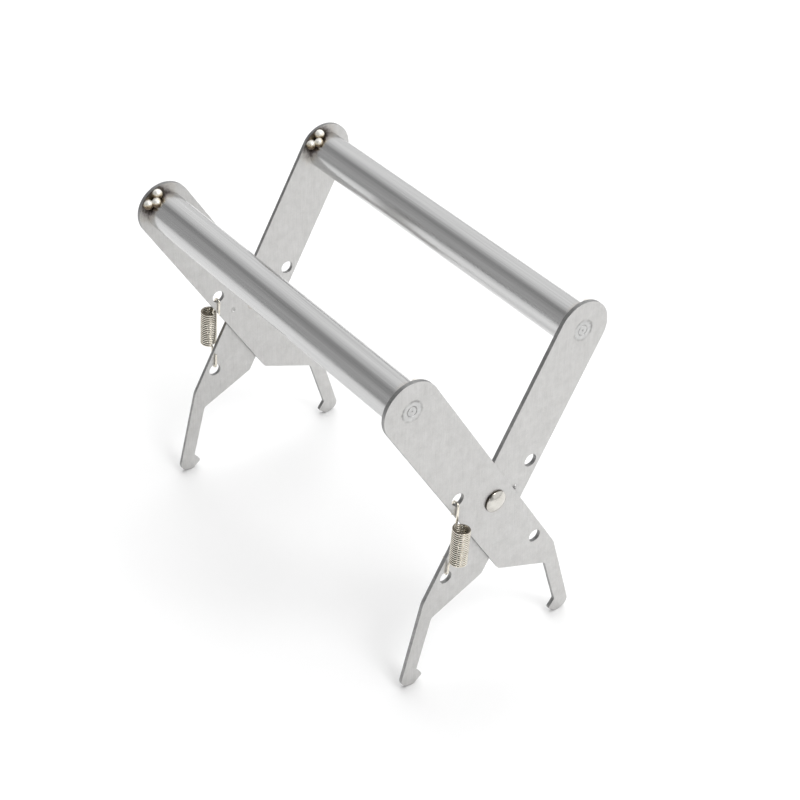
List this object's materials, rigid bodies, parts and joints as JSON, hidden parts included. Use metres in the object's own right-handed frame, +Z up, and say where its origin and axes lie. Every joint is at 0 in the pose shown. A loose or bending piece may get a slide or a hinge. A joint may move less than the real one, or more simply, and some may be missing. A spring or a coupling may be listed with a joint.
{
  "type": "frame grip",
  "caption": "Spring-opened scissor grip for lifting a hive frame by its top bar: tube handles, crossed side plates and inward hooks.",
  "frame": {"origin": "on the surface that the four hooks stand on, midway along the grip, straight below the pivot axis", "axes": "+Z up, +X along the handles, the front handle and both springs on the -Y side"},
  "size_m": [0.2136, 0.121, 0.1749],
  "materials": {
    "side_plate": "matt cold-rolled stainless sheet",
    "handle_tube": "polished stainless tube",
    "nickel_fitting": "polished nickel",
    "weld_bead": "bright tack weld with heat tint",
    "spring_wire": "nickel-plated spring wire"
  },
  "bodies": {
    "rear_handle": {"rear_handle_tube": "handle_tube", "rear_end_plug_right": "nickel_fitting", "rear_end_plug_left": "nickel_fitting", "rear_weld_right": "weld_bead", "rear_weld_left": "weld_bead", "rear_plate_right": "side_plate", "rear_plate_left": "side_plate", "pivot_rivet_right": "nickel_fitting", "pivot_rivet_left": "nickel_fitting"},
    "front_handle": {"front_handle_tube": "handle_tube", "front_end_plug_right": "nickel_fitting", "front_end_plug_left": "nickel_fitting", "front_weld_right": "weld_bead", "front_weld_left": "weld_bead", "front_plate_right": "side_plate", "front_plate_left": "side_plate"},
    "spring_right_upper": {"spring_right_upper": "spring_wire"},
    "spring_right_lower": {"spring_right_lower": "spring_wire"},
    "spring_left_upper": {"spring_left_upper": "spring_wire"},
    "spring_left_lower": {"spring_left_lower": "spring_wire"}
  },
  "joints": [
    {"name": "grip_close", "type": "hinge", "parent": "rear_handle", "child": "front_handle", "pos_m": [0, 0, 0.0903], "axis": [-1, 0, 0], "range_deg": [0, 35], "stiffness_Nm_per_rad": 1, "springref_deg": -17.76},
    {"name": "spring_right_swing", "type": "hinge", "parent": "front_handle", "child": "spring_right_upper", "pos_m": [0.09698, -0.02119, 0.10159], "axis": [1, 0, 0], "range_deg": [0, 25.82]},
    {"name": "spring_right_stretch", "type": "slide", "parent": "spring_right_upper", "child": "spring_right_lower", "axis": [0, -0.0808, -0.9967], "range_m": [0, 0.0126]},
    {"name": "spring_left_swing", "type": "hinge", "parent": "front_handle", "child": "spring_left_upper", "pos_m": [-0.0949, -0.02119, 0.10159], "axis": [1, 0, 0], "range_deg": [0, 25.82]},
    {"name": "spring_left_stretch", "type": "slide", "parent": "spring_left_upper", "child": "spring_left_lower", "axis": [0, -0.0808, -0.9967], "range_m": [0, 0.0126]}
  ],
  "couplings": [
    {"joint": "spring_right_swing", "follows": "grip_close", "ratio": 0.735},
    {"joint": "spring_right_stretch", "follows": "grip_close", "m_per_rad": 0.0205},
    {"joint": "spring_left_swing", "follows": "grip_close", "ratio": 0.735},
    {"joint": "spring_left_stretch", "follows": "grip_close", "m_per_rad": 0.0205}
  ]
}
